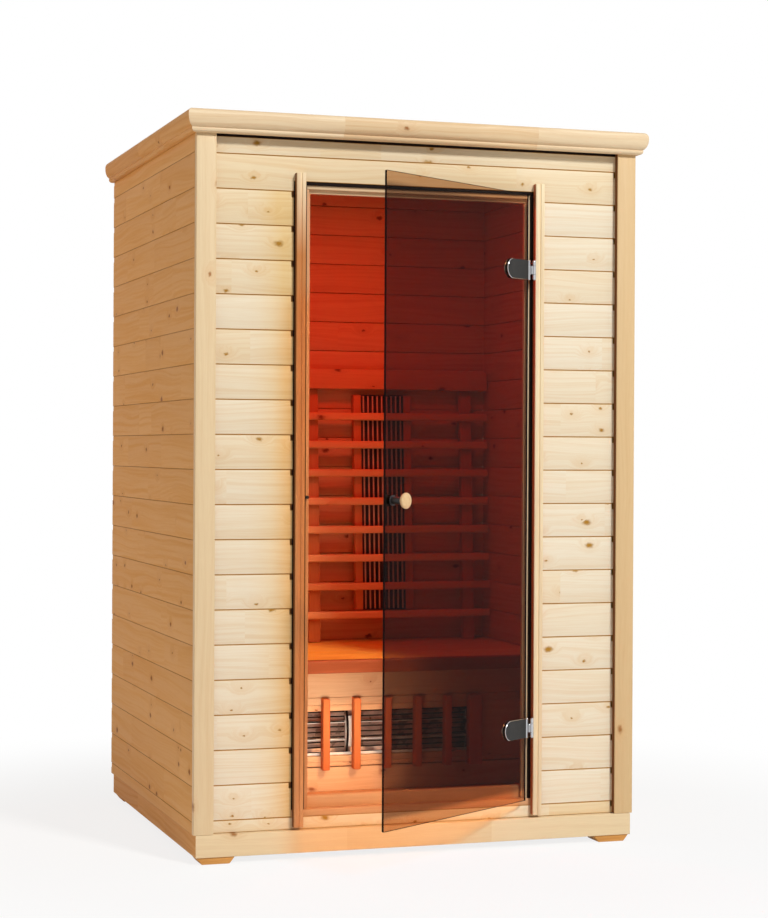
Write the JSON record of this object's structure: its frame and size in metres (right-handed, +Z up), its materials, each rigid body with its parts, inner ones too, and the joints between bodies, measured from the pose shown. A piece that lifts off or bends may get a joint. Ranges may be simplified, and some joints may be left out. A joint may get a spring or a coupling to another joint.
{
  "type": "infrared sauna cabin",
  "caption": "Free-standing wooden infrared cabin with board walls, a moulded cornice, a tinted glass door on a vertical hinge, a bench, a slatted backrest and heaters.",
  "frame": {"origin": "on the floor, under the middle of the object's box with the door ajar as in the picture", "axes": "+Z up, +X to the right of someone who faces the door, +Y from the door towards the back wall"},
  "size_m": [1.2526, 1.4494, 1.8899],
  "materials": {
    "wall_boards": "planed spruce boards, unfinished, with small knots",
    "planed_wood": "planed spruce, unfinished",
    "warm_wood": "planed reddish softwood",
    "tinted_glass": "bronze tinted toughened glass",
    "chrome": "polished",
    "black_fitting": "satin black",
    "heater_metal": "reflector tray with infrared rods",
    "lamp_lens": "red translucent lens, lit",
    "control_housing": "satin dark grey"
  },
  "bodies": {
    "cabin": {"base_frame": "wall_boards", "floor_panel": "planed_wood", "foot_front_left": "planed_wood", "foot_front_right": "planed_wood", "foot_back_left": "planed_wood", "foot_back_right": "planed_wood", "left_wall": "wall_boards", "right_wall": "wall_boards", "back_wall": "wall_boards", "front_wall_left": "wall_boards", "front_wall_right": "wall_boards", "front_header": "wall_boards", "sill_board": "wall_boards", "corner_strip_left": "planed_wood", "corner_strip_right": "planed_wood", "roof_panel": "planed_wood", "cornice_front": "planed_wood", "cornice_left": "planed_wood", "cornice_right": "planed_wood", "door_head": "warm_wood", "jamb_left": "warm_wood", "jamb_right": "warm_wood", "threshold": "warm_wood", "casing_left": "warm_wood", "casing_right": "warm_wood", "hinge_leaf_top": "chrome", "hinge_leaf_bottom": "chrome", "magnet_catch": "chrome", "bench_fascia": "warm_wood", "bench_seat": "warm_wood", "bench_ledger": "planed_wood", "bench_front_upper": "wall_boards", "bench_front_lower": "wall_boards", "bench_front_left": "wall_boards", "bench_front_right": "wall_boards", "leg_grille": "warm_wood", "leg_heater": "heater_metal", "backrest_post_left": "warm_wood", "backrest_post_centre": "warm_wood", "backrest_post_right": "warm_wood", "backrest_rail": "warm_wood", "backrest_slat_1": "warm_wood", "backrest_slat_2": "warm_wood", "backrest_slat_3": "warm_wood", "backrest_slat_4": "warm_wood", "backrest_slat_5": "warm_wood", "backrest_slat_6": "warm_wood", "backrest_slat_7": "warm_wood", "backrest_slat_8": "warm_wood", "back_heater_left": "heater_metal", "back_heater_right": "heater_metal", "ceiling_lamp": "lamp_lens", "control_box": "control_housing"},
    "door": {"door_glass": "tinted_glass", "hinge_clamp_top": "chrome", "hinge_clamp_bottom": "chrome", "hinge_back_plate_top": "chrome", "hinge_back_plate_bottom": "chrome", "knob_fitting": "black_fitting", "knob_head": "planed_wood"}
  },
  "joints": [
    {"name": "door_hinge", "type": "hinge", "parent": "cabin", "child": "door", "pos_m": [0.308, -0.35726, 0.9], "axis": [0, 0, 1], "range_deg": [-33.8, 75]}
  ]
}
